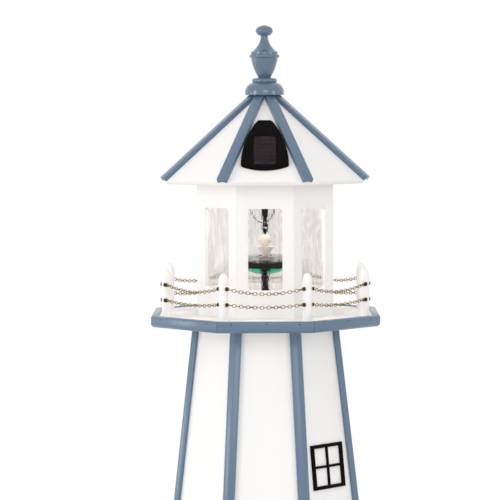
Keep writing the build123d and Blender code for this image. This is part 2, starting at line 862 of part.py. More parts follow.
# Clear lens: a lobed ring that stands on the web inside the rim
with BuildPart() as clear_lens:
    with BuildSketch(Plane.XY.offset(web_top)):
        Circle(clear_lens_lobe_distance)
        with PolarLocations(clear_lens_lobe_distance, clear_lens_lobes):
            Circle(clear_lens_lobe_radius)
        Circle(clear_lens_inner_radius, mode=Mode.SUBTRACT)
    extrude(amount=clear_lens_height)
save(clear_lens, "clear_lens")

# Lamp heights, counted up from the rotor
cone_tip = web_top + lamp_gap
cone_top = cone_tip + cone_height
bulb_top = cone_top + bulb_height
hanger_length = lantern_top - bulb_top

# White cone that points down at the rotor, closed round the lamp's collar
cone_slope = cone_radius / cone_height
with BuildPart() as lamp_cone:
    with BuildSketch(section_plane(cone_tip)):
        wall_drop = cone_wall * math.sqrt(1 + 1 / cone_slope**2)
        inner_top = cone_height - cone_wall
        Polygon(
            (0, 0),
            (cone_tip_radius, 0),
            (cone_radius, cone_height),
            (bulb_collar_radius + fit_gap, cone_height),
            (bulb_collar_radius + fit_gap, inner_top),
            ((inner_top - wall_drop) * cone_slope, inner_top),
            (0, wall_drop),
            align=None,
        )
    revolve(axis=Axis.Z)
save(lamp_cone, "lamp_cone")

# Cream lamp: a round head on a collar, with a tip inside the cone
bulb_head = arc_points(
    (bulb_radius, bulb_shoulder_height), (hanger_waist_radius, bulb_height), -bulb_head_bulge
)
with BuildPart() as lamp_bulb:
    with BuildSketch(section_plane(cone_top)):
        Polygon(
            (0, bulb_height),
            (0, -bulb_collar_height - bulb_tip_length),
            (bulb_tip_radius, -bulb_collar_height - bulb_tip_length),
            (bulb_collar_radius, -bulb_collar_height),
            (bulb_collar_radius, bulb_collar_height),
            *bulb_head,
            align=None,
        )
    revolve(axis=Axis.Z)
save(lamp_bulb, "lamp_bulb")

# Black hanger from the roof plate: flange, tapered column and an eye above the lamp
hanger_eye = arc_points((hanger_waist_radius, hanger_eye_length), (hanger_tip_radius, 0), hanger_eye_bulge)
with BuildPart() as lamp_hanger:
    with BuildSketch(section_plane(bulb_top)):
        Polygon(
            (0, 0),
            (0, hanger_length),
            (hanger_flange_radius, hanger_length),
            (hanger_flange_radius, hanger_length - hanger_flange_height),
            (hanger_radius, hanger_length - hanger_flange_height),
            (hanger_radius, hanger_eye_length + hanger_taper_length),
            *hanger_eye,
            align=None,
        )
    revolve(axis=Axis.Z)
    with BuildSketch(Plane.XZ):
        with Locations((0, bulb_top + hanger_eye_hole_height)):
            Circle(hanger_eye_hole)
    extrude(amount=hanger_radius, both=True, mode=Mode.SUBTRACT)
save(lamp_hanger, "lamp_hanger")

# Wire loop: straight runs joined by the largest tangent arcs
wire_points = [Vector(x, y, lantern_top + z) for x, y, z in wire_route]
wire_radii = []
for before, corner, after in zip(wire_points, wire_points[1:], wire_points[2:]):
    turn = math.radians((corner - before).get_angle(after - corner))
    shorter = min((corner - before).length, (after - corner).length)
    wire_radii.append(wire_bend_share * shorter / math.tan(turn / 2))
print("wire arc radii:", [round(radius, 1) for radius in wire_radii])
with BuildPart() as lamp_wire:
    with BuildLine() as wire_path:
        FilletPolyline(*wire_points, radius=wire_radii)
    with BuildSketch(Plane(origin=wire_points[0], z_dir=wire_points[1] - wire_points[0])):
        Circle(wire_diameter / 2)
    sweep()
    split(bisect_by=Plane.XY.offset(lantern_top), keep=Keep.BOTTOM)
wire_length = wire_path.wire().length
wire_expected = math.pi * wire_diameter**2 / 4 * wire_length
print("wire length:", round(wire_length, 1))
print("wire volume:", round(lamp_wire.part.volume, 1), round(wire_expected, 1))
save(lamp_wire, "lamp_wire")
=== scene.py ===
"""Looks of a solar lighthouse light: boards, turned pieces, chain, glass and paint on the CAD frame."""

import math

import bmesh
import bpy
from bpy.props import FloatProperty, FloatVectorProperty, IntProperty, PointerProperty
from mathutils import Euler, Matrix, Vector


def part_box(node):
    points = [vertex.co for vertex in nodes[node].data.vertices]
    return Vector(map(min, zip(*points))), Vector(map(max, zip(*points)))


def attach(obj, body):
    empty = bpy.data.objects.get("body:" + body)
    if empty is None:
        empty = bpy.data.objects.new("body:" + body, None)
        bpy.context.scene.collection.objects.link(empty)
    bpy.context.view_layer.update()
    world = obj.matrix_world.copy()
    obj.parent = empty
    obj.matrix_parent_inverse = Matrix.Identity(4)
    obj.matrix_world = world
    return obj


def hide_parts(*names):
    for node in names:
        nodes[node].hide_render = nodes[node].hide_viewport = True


bl_info = {
    "name": "Solar lighthouse light",
    "version": (1, 0, 0),
    "blender": (4, 5, 0),
    "location": "3D View > Sidebar > Lighthouse",
    "description": "Dresses a garden lighthouse light on its CAD frame",
    "category": "Object",
}

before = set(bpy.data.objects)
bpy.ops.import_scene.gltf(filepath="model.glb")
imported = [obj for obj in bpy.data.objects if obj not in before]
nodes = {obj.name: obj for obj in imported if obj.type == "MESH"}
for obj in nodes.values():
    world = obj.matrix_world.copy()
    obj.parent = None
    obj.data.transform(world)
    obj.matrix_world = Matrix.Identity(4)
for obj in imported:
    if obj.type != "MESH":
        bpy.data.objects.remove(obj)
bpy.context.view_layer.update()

MM = 0.001
SIDES = 8
HALF_STEP = math.pi / SIDES
NUMBERS = range(1, SIDES + 1)

# Heights and reaches that the frame gives, in metres
DECK_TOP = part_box("railing_posts")[0][2]
LANTERN_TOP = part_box("lantern_walls")[1][2]
FINIAL_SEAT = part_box("finial")[0][2]
STAND_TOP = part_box("beacon_stand")[1][2]
HUB_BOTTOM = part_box("rotor_hub")[0][2]
CONE_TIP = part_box("lamp_cone")[0][2]
CONE_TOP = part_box("lamp_cone")[1][2]
ROOF_REACH = -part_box("roof_panel_1")[0][1]
RIM_REACH = -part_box("deck_rim")[0][1]
RIM_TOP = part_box("deck_rim")[1][2]

# Solar cells on the sloping roof board
ROOF_PITCH = math.radians(42.6)
CELL_GAP = 1.0 * MM
CELL_STEP_ACROSS = 11.0 * MM
CELL_STEP_UP = 11.3 * MM

# Railing: a span runs from post to post, with a screw towards it in each post
POST_RADIUS = 9.5 * MM
POST_CIRCLE = (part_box("railing_posts")[1][0] - POST_RADIUS) / math.cos(HALF_STEP)
SPAN = 2 * POST_CIRCLE * math.sin(HALF_STEP)
SCREW_FROM_RADIUS = math.radians(57)
SCREW_TURN = math.pi / 2 + HALF_STEP - SCREW_FROM_RADIUS
NEAR_SCREW = Matrix.Rotation(-SCREW_TURN, 4, "Z")
FAR_SCREW = Matrix.Translation((SPAN, 0, 0)) @ Matrix.Rotation(math.pi + SCREW_TURN, 4, "Z")
SCREW_ROWS = {"upper": 64.3 * MM, "lower": 33.3 * MM}
ROW_SAGS = {"upper": 9.2 * MM, "lower": 5.0 * MM}

# Screw, measured from the post's axis in millimetres, and its facets
SHANK_RADIUS = 1.2
SHANK_START = 9.65
LINK_SEAT = 10.45
HEAD_SEAT = 11.4
SCREW_STEPS = 16

# Chain links are small and many, so they have few faces; they roll unevenly, by up to 11 degrees
LINK_WIRE_SIDES = 5
LINK_STEPS = 10
LINK_ROLL = 11
LINK_ROLL_PACE = 2.3

# Nails of a rim board: spots across from its middle and down from its top in millimetres, and heads
NAIL_SPOTS = ((-66, 5.2), (2, 4.4), (66, 5.0))
NAIL_SIDES = 12
NAIL_HEIGHT = 0.5 * MM
NAIL_TAPER = 0.6

# Route of the loose wire below the roof plate, in metres, heights down from the plate
WIRE_ROUTE = [
    (-0.034, -0.004, 0.0),
    (-0.0335, -0.006, -0.026),
    (-0.032, -0.0095, -0.055),
    (-0.025, -0.0125, -0.071),
    (-0.012, -0.014, -0.0845),
    (0.003, -0.014, -0.085),
    (0.014, -0.0125, -0.073),
    (0.0205, -0.0095, -0.055),
    (0.022, -0.006, -0.026),
    (0.0225, -0.004, 0.0),
]

# Steps of an arc, and limits for joining and shading a mesh and for picking its foot or underside
ARC_STEPS = 8
MERGE_DISTANCE = 1e-6
FOOT_DEPTH = 0.1 * MM
UNDERSIDE_TILT = 0.1
FLAT_ANGLE = math.radians(1)
CORNER_ANGLE = math.radians(24)
BOARD_SMOOTH = math.radians(30)
TURNED_SMOOTH = math.radians(40)
FINIAL_SMOOTH = math.radians(45)
SCREW_SMOOTH = math.radians(50)
LINK_SMOOTH = math.radians(60)

# Relief at full strength, and the pitch of a wave texture's bands at a scale of 1
PAINT_RELIEF = 0.5 * MM
GLASS_RELIEF = 4.0 * MM
BAND_PITCH = math.pi / 10

# Inside the effects: share of the mottle, how much finer the fine ripples are, and where
# streaks and cell borders start and are full
MOTTLE_SHARE = 0.6
FINE_RIPPLE = 3.1
STREAK_RANGE = (0.36, 0.64)
BORDER_RANGE = (0.84, 0.94)

# Stage: the floor keeps its shadow up to the first reach, and is white past the second
FLOOR_RADIUS = 60.0
FLOOR_DROP = 0.5 * MM
FLOOR_REACHES = (0.55, 1.4)
FLOOR_GREY = (0.82, 0.82, 0.82, 1)
WARM_WHITE = (1, 0.99, 0.98)
SOFT_LIGHT = 0.8

# Studio lamps: name, place, aim, width and height in metres, and power in watts
LAMPS = (
    ("key", (-3.6, -2.2, 1.5), (0, 0, 1.1), 0.7, 1.9, 33),
    ("fill", (3.6, -2.5, 1.5), (0, 0, 1.1), 0.5, 1.3, 16),
    ("left", (-4.5, -0.1, 0.55), (0, 0, 0.85), 1.0, 1.0, 16),
    ("front", (0.4, -4.9, 2.4), (0, 0, 0.85), 2.2, 2.2, 37),
    ("inside", (0, 0, LANTERN_TOP - 2 * MM), (0, 0, 0), 0.18, 0.18, 0.44),
)

# Camera: its place, its turn in degrees, and its focal length in pixels of the picture
CAMERA_PLACE = (0, -4.8, 1.1046)
CAMERA_TURN = (90 - 3.743, 0.28, 0.351)
FOCAL_PIXELS = 2369
PICTURE_PIXELS = 500
SENSOR_WIDTH = 36


class LighthouseColours(bpy.types.PropertyGroup):
    """Colours of the lighthouse's finishes."""

    white_paint: FloatVectorProperty(
        name="White paint", description="Boards, posts and roof", subtype="COLOR",
        default=(0.93, 0.918, 0.908),
    )
    blue_paint: FloatVectorProperty(
        name="Slate-blue paint", description="Trims, ribs, rim and finial", subtype="COLOR",
        default=(0.108, 0.175, 0.262),
    )
    black_plastic: FloatVectorProperty(
        name="Black plastic", description="Solar case, window bars and beacon", subtype="COLOR",
        default=(0.0032, 0.0024, 0.0024),
    )
    brass: FloatVectorProperty(
        name="Brass", description="Chain links", subtype="COLOR", default=(0.36, 0.235, 0.022)
    )
    bronze: FloatVectorProperty(
        name="Dark bronze", description="Chain screws and rim nails", subtype="COLOR",
        default=(0.07, 0.045, 0.02),
    )
    teal_glass: FloatVectorProperty(
        name="Teal lens", description="Lower lens of the beacon", subtype="COLOR",
        default=(0.07, 0.9, 0.68),
    )
    lamp_cream: FloatVectorProperty(
        name="Cream lamp", description="Head of the lamp", subtype="COLOR",
        default=(0.66, 0.59, 0.51),
    )
    lamp_white: FloatVectorProperty(
        name="White cone", description="Cone under the lamp", subtype="COLOR",
        default=(0.95, 0.93, 0.9),
    )
    solar_cell: FloatVectorProperty(
        name="Solar cell", description="Dark purple cells", subtype="COLOR",
        default=(0.011, 0.005, 0.0075),
    )


class LighthouseSizes(bpy.types.PropertyGroup):
    """Sizes of the fine pieces that stand in for plainer CAD solids."""

    board_easing: FloatProperty(
        name="Board easing", description="Rounding of board edges", unit="LENGTH", default=0.0008
    )
    trim_easing: FloatProperty(
        name="Trim easing", description="Rounding of blue trim edges", unit="LENGTH", default=0.0014
    )
    case_easing: FloatProperty(
        name="Case easing", description="Rounding of the solar case", unit="LENGTH", default=0.0022
    )
    turned_steps: IntProperty(
        name="Turned steps", description="Facets round a turned piece", default=64, min=16, max=128
    )
    link_pitch: FloatProperty(
        name="Link pitch", description="Spacing of the chain links", unit="LENGTH", default=0.0068
    )
    link_wire: FloatProperty(
        name="Link wire", description="Thickness of the link wire", unit="LENGTH", default=0.0015
    )
    link_width: FloatProperty(
        name="Link width", description="Outside width of a link", unit="LENGTH", default=0.0074
    )
    screw_head: FloatProperty(
        name="Screw head", description="Diameter of the chain screws' heads", unit="LENGTH",
        default=0.008,
    )
    wire_diameter: FloatProperty(
        name="Wire diameter", description="Thickness of the loose wire", unit="LENGTH", default=0.002
    )
    glass_gap: FloatProperty(
        name="Glass gap", description="Gap between a sheet of glass and what it lies on",
        unit="LENGTH", default=0.0004,
    )
    eave_undercut: FloatProperty(
        name="Eave undercut", description="How far the eaves' edges lean in", unit="LENGTH",
        default=0.0075,
    )
    nail_diameter: FloatProperty(
        name="Nail diameter", description="Heads of the rim's nails", unit="LENGTH", default=0.0034
    )


def sizes():
    """The sizes set in the sidebar."""
    return bpy.context.scene.lighthouse_sizes


def colours():
    """The colours set in the sidebar."""
    return bpy.context.scene.lighthouse_colours


# Shader nodes


def add_node(tree, kind, **values):
    """New shader node with plain values on its named inputs."""
    node = tree.nodes.new(f"ShaderNode{kind}")
    set_inputs(node, **values)
    return node


def set_inputs(node, **values):
    """Set a node's inputs by their names, with an underscore for each space."""
    for socket, value in values.items():
        node.inputs[socket.replace("_", " ").title()].default_value = value


def add_math(tree, operation, clamp=False):
    """New Math node."""
    node = add_node(tree, "Math")
    node.operation = operation
    node.use_clamp = clamp
    return node


def add_colour_mix(tree):
    """New node that mixes two colours."""
    node = add_node(tree, "Mix")
    node.data_type = "RGBA"
    return node


def add_effect(tree, name, **values):
    """A shared effect placed in a material with its own values."""
    node = add_node(tree, "Group")
    node.node_tree = shared_group(name)
    set_inputs(node, **values)
    return node


def connect(tree, source, output, target, socket):
    """Link one node's output to another node's input."""
    tree.links.new(source.outputs[output], target.inputs[socket])


# Shared shader effects


def new_group(name, inputs, outputs):
    """Empty shader group with its named sockets."""
    group = bpy.data.node_groups.new(name, "ShaderNodeTree")
    for socket, kind, value in inputs:
        made = group.interface.new_socket(socket, in_out="INPUT", socket_type=kind)
        made.default_value = value
    for socket, kind in outputs:
        group.interface.new_socket(socket, in_out="OUTPUT", socket_type=kind)
    return group, group.nodes.new("NodeGroupInput"), group.nodes.new("NodeGroupOutput")


def paint_film_group():
    """Mottle and brush marks of a paint film: colour, roughness and height."""
    group, given, made = new_group(
        "paint_film",
        [
            ("Colour", "NodeSocketColor", (0.8, 0.8, 0.8, 1)),
            ("Shade", "NodeSocketColor", (0.7, 0.7, 0.7, 1)),
            ("Mottle Scale", "NodeSocketFloat", 9.0),
            ("Grain Scale", "NodeSocketFloat", 220.0),
            ("Grain Stretch", "NodeSocketVector", (1, 1, 1)),
            ("Grain Amount", "NodeSocketFloat", 0.1),
            ("Roughness", "NodeSocketFloat", 0.4),
            ("Roughness Spread", "NodeSocketFloat", 0.15),
        ],
        [
            ("Colour", "NodeSocketColor"),
            ("Roughness", "NodeSocketFloat"),
            ("Height", "NodeSocketFloat"),
        ],
    )
    place = add_node(group, "TexCoord")
    turn = add_node(group, "Mapping")
    connect(group, place, "Object", turn, "Vector")
    connect(group, given, "Grain Stretch", turn, "Scale")
    mottle = add_node(group, "TexNoise", detail=5)
    connect(group, place, "Object", mottle, "Vector")
    connect(group, given, "Mottle Scale", mottle, "Scale")
    grain = add_node(group, "TexNoise", detail=4, roughness=0.65)
    connect(group, turn, "Vector", grain, "Vector")
    connect(group, given, "Grain Scale", grain, "Scale")
    share = add_math(group, "MULTIPLY")
    connect(group, grain, "Fac", share, 0)
    connect(group, given, "Grain Amount", share, 1)
    both = add_math(group, "MULTIPLY_ADD", clamp=True)
    both.inputs[1].default_value = MOTTLE_SHARE
    connect(group, mottle, "Fac", both, 0)
    connect(group, share, "Value", both, 2)
    mixed = add_colour_mix(group)
    connect(group, both, "Value", mixed, "Factor")
    connect(group, given, "Colour", mixed, "A")
    connect(group, given, "Shade", mixed, "B")
    connect(group, mixed, "Result", made, "Colour")
    spread = add_math(group, "MULTIPLY_ADD", clamp=True)
    connect(group, grain, "Fac", spread, 0)
    connect(group, given, "Roughness Spread", spread, 1)
    connect(group, given, "Roughness", spread, 2)
    connect(group, spread, "Value", made, "Roughness")
    connect(group, grain, "Fac", made, "Height")
    return group


def glass_ripple_group():
    """Long upright ripples of drawn glass: their height, and a mask of the streaks they leave."""
    group, given, made = new_group(
        "glass_ripple",
        [
            ("Scale", "NodeSocketFloat", 60.0),
            ("Stretch", "NodeSocketVector", (1, 1, 0.25)),
            ("Fine Share", "NodeSocketFloat", 0.3),
        ],
        [("Height", "NodeSocketFloat"), ("Mask", "NodeSocketFloat")],
    )
    place = add_node(group, "TexCoord")
    turn = add_node(group, "Mapping")
    connect(group, place, "Object", turn, "Vector")
    connect(group, given, "Stretch", turn, "Scale")
    broad = add_node(group, "TexNoise", detail=2, distortion=1.2)
    connect(group, turn, "Vector", broad, "Vector")
    connect(group, given, "Scale", broad, "Scale")
    finer = add_math(group, "MULTIPLY")
    finer.inputs[1].default_value = FINE_RIPPLE
    connect(group, given, "Scale", finer, 0)
    fine = add_node(group, "TexNoise", detail=1)
    connect(group, turn, "Vector", fine, "Vector")
    connect(group, finer, "Value", fine, "Scale")
    total = add_math(group, "MULTIPLY_ADD")
    connect(group, fine, "Fac", total, 0)
    connect(group, given, "Fine Share", total, 1)
    connect(group, broad, "Fac", total, 2)
    connect(group, total, "Value", made, "Height")
    start, full = STREAK_RANGE
    streaks = add_node(group, "MapRange", from_min=start, from_max=full)
    connect(group, broad, "Fac", streaks, "Value")
    connect(group, streaks, "Result", made, "Mask")
    return group


def shared_group(name):
    """The shared effect of that name, built once."""
    makers = {"paint_film": paint_film_group, "glass_ripple": glass_ripple_group}
    return bpy.data.node_groups.get(name) or makers[name]()


# Finishes


def plain_material(name):
    """Material with only its Principled shader and output."""
    material = bpy.data.materials.new(name)
    material.use_nodes = True
    return material, material.node_tree, material.node_tree.nodes["Principled BSDF"]


def film_material(
    name, colour, shade, roughness, spread, bump, metallic=0.0, coat=0.0, coat_roughness=0.26,
    coat_ior=1.5, gloss=0.5, depth=0.0, **effect,
):
    """Finish whose colour, gloss and relief vary through the paint film effect.

    Roughness varies upwards by spread, and depth is how far light sinks in.
    """
    known = bpy.data.materials.get(name)
    if known:
        return known
    material, tree, shader = plain_material(name)
    film = add_effect(
        tree, "paint_film", colour=(*colour, 1), shade=(*shade, 1), roughness=roughness,
        roughness_spread=spread, **effect,
    )
    relief = add_node(tree, "Bump", strength=bump, distance=PAINT_RELIEF)
    set_inputs(
        shader, metallic=metallic, subsurface_weight=1.0 if depth else 0.0, subsurface_scale=depth,
        subsurface_radius=(1, 0.9, 0.75), coat_weight=coat, coat_roughness=coat_roughness,
    )
    shader.inputs["Specular IOR Level"].default_value = gloss
    shader.inputs["Coat IOR"].default_value = coat_ior
    connect(tree, film, "Colour", shader, "Base Color")
    connect(tree, film, "Roughness", shader, "Roughness")
    connect(tree, film, "Height", relief, "Height")
    connect(tree, relief, "Normal", shader, "Normal")
    return material


def glass_material(name, colour, streak, roughness, bump, ior=1.45, **effect):
    """Clear or tinted glass with ripples and faint streaks; lamp light passes straight through it."""
    known = bpy.data.materials.get(name)
    if known:
        return known
    material, tree, shader = plain_material(name)
    ripple = add_effect(tree, "glass_ripple", **effect)
    relief = add_node(tree, "Bump", strength=bump, distance=GLASS_RELIEF)
    streaked = add_colour_mix(tree)
    set_inputs(streaked, a=(*colour, 1), b=(*streak, 1))
    connect(tree, ripple, "Mask", streaked, "Factor")
    connect(tree, streaked, "Result", shader, "Base Color")
    set_inputs(shader, roughness=roughness, transmission_weight=1.0)
    shader.inputs["IOR"].default_value = ior
    connect(tree, ripple, "Height", relief, "Height")
    connect(tree, relief, "Normal", shader, "Normal")
    clear = add_node(tree, "BsdfTransparent", color=(*colour, 1))
    path = add_node(tree, "LightPath")
    mixed = add_node(tree, "MixShader")
    connect(tree, path, "Is Shadow Ray", mixed, "Fac")
    connect(tree, shader, "BSDF", mixed, 1)
    connect(tree, clear, "BSDF", mixed, 2)
    connect(tree, mixed, "Shader", tree.nodes["Material Output"], "Surface")
    return material


def tint(colour, factor):
    """A colour made darker or lighter."""
    return tuple(min(1.0, part * factor) for part in colour)


def white_paint():
    """White satin paint with faint upright brush marks."""
    colour = colours().white_paint
    return film_material(
        "white_paint", colour, tint(colour, 0.955), roughness=0.38, spread=0.2, bump=0.12,
        mottle_scale=5.0, grain_scale=170.0, grain_stretch=(1, 1, 0.06), grain_amount=0.35,
    )


def blue_paint():
    """Slate-blue satin paint with a fine orange peel."""
    colour = colours().blue_paint
    return film_material(
        "blue_paint", tint(colour, 1.06), tint(colour, 0.86), roughness=0.42, spread=0.06, bump=0.015,
        coat=1.0, gloss=0.1,
        mottle_scale=14.0, grain_scale=420.0, grain_stretch=(1, 1, 0.5), grain_amount=0.1,
    )


def turned_blue_paint():
    """Slate-blue paint on the finial's smooth turned wood, glossier than on the sawn boards."""
    colour = colours().blue_paint
    return film_material(
        "turned_blue_paint", tint(colour, 0.92), tint(colour, 0.75), roughness=0.42, spread=0.06,
        bump=0.0, coat=1.0, coat_roughness=0.22, coat_ior=1.65, gloss=0.1,
        mottle_scale=14.0, grain_scale=420.0, grain_stretch=(1, 1, 0.5), grain_amount=0.1,
    )


def black_plastic():
    """Moulded black plastic with a fine spark texture."""
    colour = colours().black_plastic
    return film_material(
        "moulded_plastic", colour, tint(colour, 1.8), roughness=0.34, spread=0.2, bump=0.12, gloss=0.03,
        mottle_scale=30.0, grain_scale=900.0, grain_amount=0.4,
    )


def brass_metal():
    """Bright brass in random bright and near-black patches: partly dulled brass, partly painted
    highlight and painted shade for the links' lit and shaded sides.
    """
    colour = colours().brass
    return film_material(
        # Painted light and shade: the lightened colour and the near-black shade stand in for the lit
        # and shaded sides of the links, besides some dulling.
        "brass", tint(colour, 1.6), tint(colour, 0.08), roughness=0.2, spread=0.25, bump=0.08,
        metallic=1.0, mottle_scale=260.0, grain_scale=900.0, grain_amount=0.4,
    )


def bronze_metal():
    """Dark bronze of the chain screws and nails."""
    colour = colours().bronze
    return film_material(
        "dark_bronze", colour, tint(colour, 0.4), roughness=0.3, spread=0.3, bump=0.1, metallic=0.8,
        mottle_scale=200.0, grain_scale=900.0, grain_amount=0.4,
    )


def cream_lamp():
    """Pearly cream plastic of the lamp's head."""
    colour = colours().lamp_cream
    return film_material(
        "cream_lamp", tint(colour, 1.08), tint(colour, 0.82), roughness=0.25, spread=0.15, bump=0.1,
        coat=0.3, depth=0.006, mottle_scale=60.0, grain_scale=500.0, grain_amount=0.3,
    )


def white_cone():
    """White moulded plastic of the cone."""
    colour = colours().lamp_white
    return film_material(
        "white_cone", colour, tint(colour, 0.94), roughness=0.35, spread=0.15, bump=0.08,
        mottle_scale=60.0, grain_scale=700.0, grain_amount=0.3,
    )


def brushed_steel():
    """Brushed steel of the motor and shaft."""
    return film_material(
        "brushed_steel", (0.55, 0.55, 0.56), (0.36, 0.36, 0.37), roughness=0.25, spread=0.2, bump=0.1,
        metallic=1.0,
        mottle_scale=80.0, grain_scale=500.0, grain_stretch=(1, 1, 0.1), grain_amount=0.6,
    )


def battery_sleeve():
    """Plain green sleeve and tray of the cells."""
    return film_material(
        "battery_sleeve", (0.03, 0.09, 0.05), (0.02, 0.05, 0.03), roughness=0.3, spread=0.15, bump=0.05,
        mottle_scale=40.0, grain_scale=600.0, grain_amount=0.3,
    )


def circuit_lacquer():
    """Green lacquer of the circuit board."""
    return film_material(
        "circuit_lacquer", (0.02, 0.14, 0.05), (0.015, 0.08, 0.03), roughness=0.3, spread=0.2, bump=0.1,
        mottle_scale=120.0, grain_scale=800.0, grain_amount=0.5,
    )


def wire_sheath():
    """Grey-brown sheath of the loose wire."""
    return film_material(
        "wire_cover", (0.1, 0.085, 0.075), (0.06, 0.05, 0.045), roughness=0.35, spread=0.15, bump=0.05,
        mottle_scale=150.0, grain_scale=900.0, grain_amount=0.3,
    )


def pane_glass():
    """Clear drawn glass of the lantern, rippled upright."""
    return glass_material(
        "pane_glass", (0.945, 0.93, 0.91), (0.79, 0.775, 0.755), roughness=0.0, bump=0.13, ior=1.2,
        scale=150.0, stretch=(1, 1, 0.2), fine_share=0.25,
    )


def clear_lens_glass():
    """Clear glass of the beacon's lobed lens."""
    return glass_material(
        "clear_lens_glass", (0.8, 0.8, 0.77), (0.5, 0.49, 0.45), roughness=0.03, bump=0.2,
        scale=90.0, stretch=(1, 1, 1), fine_share=0.2,
    )


def teal_lens_glass():
    """Teal glass of the beacon's lower lens."""
    colour = colours().teal_glass
    return glass_material(
        "teal_lens_glass", colour, tint(colour, 0.85), roughness=0.02, bump=0.1, ior=1.25,
        scale=90.0, stretch=(1, 1, 1), fine_share=0.2,
    )


def cover_glass():
    """Clear cover over the solar cells."""
    return glass_material(
        "cover_glass", (0.9, 0.9, 0.91), (0.88, 0.88, 0.89), roughness=0.02, bump=0.004, ior=1.1,
        scale=40.0, stretch=(1, 1, 1), fine_share=0.1,
    )


def solar_cell_film():
    """Dark purple cells with darker borders, in columns and rows up the roof."""
    known = bpy.data.materials.get("solar_cell_film")
    if known:
        return known
    material, tree, shader = plain_material("solar_cell_film")
    colour = colours().solar_cell
    slope = Vector((0, math.cos(ROOF_PITCH), math.sin(ROOF_PITCH)))
    lowest = min(vert.co.dot(slope) for vert in nodes["solar_cells"].data.vertices)
    place = add_node(tree, "TexCoord")
    along = add_node(
        tree, "Mapping", location=(0, CELL_GAP / 2 - lowest, 0), rotation=(-ROOF_PITCH, 0, 0)
    )
    connect(tree, place, "Object", along, "Vector")
    border = add_math(tree, "MAXIMUM")
    for socket, (way, step) in enumerate((("X", CELL_STEP_ACROSS), ("Y", CELL_STEP_UP))):
        lines = add_node(tree, "TexWave", scale=BAND_PITCH / step, phase_offset=math.pi)
        lines.wave_type = "BANDS"
        lines.bands_direction = way
        connect(tree, along, "Vector", lines, "Vector")
        connect(tree, lines, "Fac", border, socket)
    ramp = add_node(tree, "ValToRGB")
    cell, line = ramp.color_ramp.elements
    cell.position, line.position = BORDER_RANGE
    cell.color = (*colour, 1)
    line.color = (*tint(colour, 0.1), 1)
    connect(tree, border, "Value", ramp, "Fac")
    film = add_effect(
        tree, "paint_film", shade=(*tint(colour, 1.7), 1), roughness=0.18, roughness_spread=0.1,
        mottle_scale=120.0, grain_scale=600.0, grain_amount=0.5,
    )
    connect(tree, ramp, "Color", film, "Colour")
    connect(tree, film, "Colour", shader, "Base Color")
    connect(tree, film, "Roughness", shader, "Roughness")
    shader.inputs["Specular IOR Level"].default_value = 0.15
    return material


# Shapes


def finished(name, bm, material, body, replaced=(), smooth_angle=0.0):
    """Object from a bmesh, with its material, riding on its body and standing for its CAD nodes."""
    mesh = bpy.data.meshes.new(name)
    bm.to_mesh(mesh)
    bm.free()
    if smooth_angle:
        mesh.shade_smooth()
        mesh.set_sharp_from_angle(angle=smooth_angle)
    piece = bpy.data.objects.new(name, mesh)
    bpy.context.scene.collection.objects.link(piece)
    mesh.materials.append(material)
    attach(piece, body)
    if replaced:
        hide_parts(*replaced)


def dress(names, material):
    """Give CAD nodes a material."""
    for name in names:
        nodes[name].data.materials.clear()
        nodes[name].data.materials.append(material)


def join_doubles(bm):
    """Merge vertices that lie on each other."""
    bmesh.ops.remove_doubles(bm, verts=bm.verts[:], dist=MERGE_DISTANCE)


def merged_copy(name):
    """Copy of a CAD node with its loose triangles joined."""
    bm = bmesh.new()
    bm.from_mesh(nodes[name].data)
    join_doubles(bm)
    bm.normal_update()
    return bm


def draw_in_foot(bm, undercut):
    """Move the lowest corners in towards the axis, so that an eave's edge leans in."""
    lowest = min(vert.co.z for vert in bm.verts)
    foot = [vert for vert in bm.verts if vert.co.z - lowest < FOOT_DEPTH]
    inwards = 1 - undercut / ROOF_REACH
    bmesh.ops.scale(bm, vec=(inwards, inwards, 1), verts=foot)
    bm.normal_update()


def is_corner(edge):
    """Whether two faces meet at an edge at more than a slight angle."""
    return len(edge.link_faces) == 2 and edge.calc_face_angle() > CORNER_ANGLE


def eased_piece(node, easing, material, body, undercut=0.0):
    """Piece that stands for one CAD node, with its edges eased as sanded and painted ones are."""
    bm = merged_copy(node)
    bmesh.ops.dissolve_limit(bm, angle_limit=FLAT_ANGLE, verts=bm.verts[:], edges=bm.edges[:])
    if undercut:
        draw_in_foot(bm, undercut)
    bmesh.ops.bevel(
        bm, geom=[edge for edge in bm.edges if is_corner(edge)], offset=easing, offset_type="OFFSET",
        affect="EDGES", segments=2, profile=0.5, material=-1, clamp_overlap=True,
    )
    finished(f"{node}_eased", bm, material, body, [node], BOARD_SMOOTH)


def white_board(node, body, undercut=0.0):
    """Eased board in white paint."""
    eased_piece(node, sizes().board_easing, white_paint(), body, undercut)


def blue_trim(node, body):
    """Eased trim in slate-blue paint."""
    eased_piece(node, sizes().trim_easing, blue_paint(), body)


def outline_to(bm, last, end, bulge):
    """Continue an upright outline from a vertex, straight or along an arc that bulges outwards."""
    if not bulge:
        vertex = bm.verts.new(end)
        bm.edges.new((last, vertex))
        return vertex
    chord = end - last.co
    half = chord.length / 2
    outwards = Vector((chord.z, 0, -chord.x)).normalized()
    radius = (half**2 + bulge**2) / (2 * abs(bulge))
    centre = last.co + chord / 2 + outwards * (bulge - math.copysign(radius, bulge))
    angle = -math.copysign(4 * math.atan(abs(bulge) / half), bulge)
    made = bmesh.ops.spin(
        bm, geom=[last], cent=centre, axis=(0, 1, 0), dvec=(0, 0, 0), angle=angle, steps=ARC_STEPS,
        use_merge=False, use_duplicate=False,
    )
    return next(item for item in made["geom_last"] if isinstance(item, bmesh.types.BMVert))


def full_turn(bm, steps):
    """Spin all of a bmesh once round the axis."""
    bmesh.ops.spin(
        bm, geom=bm.verts[:] + bm.edges[:], cent=(0, 0, 0), axis=(0, 0, 1), dvec=(0, 0, 0),
        angle=2 * math.pi, steps=steps, use_merge=True, use_duplicate=False,
    )


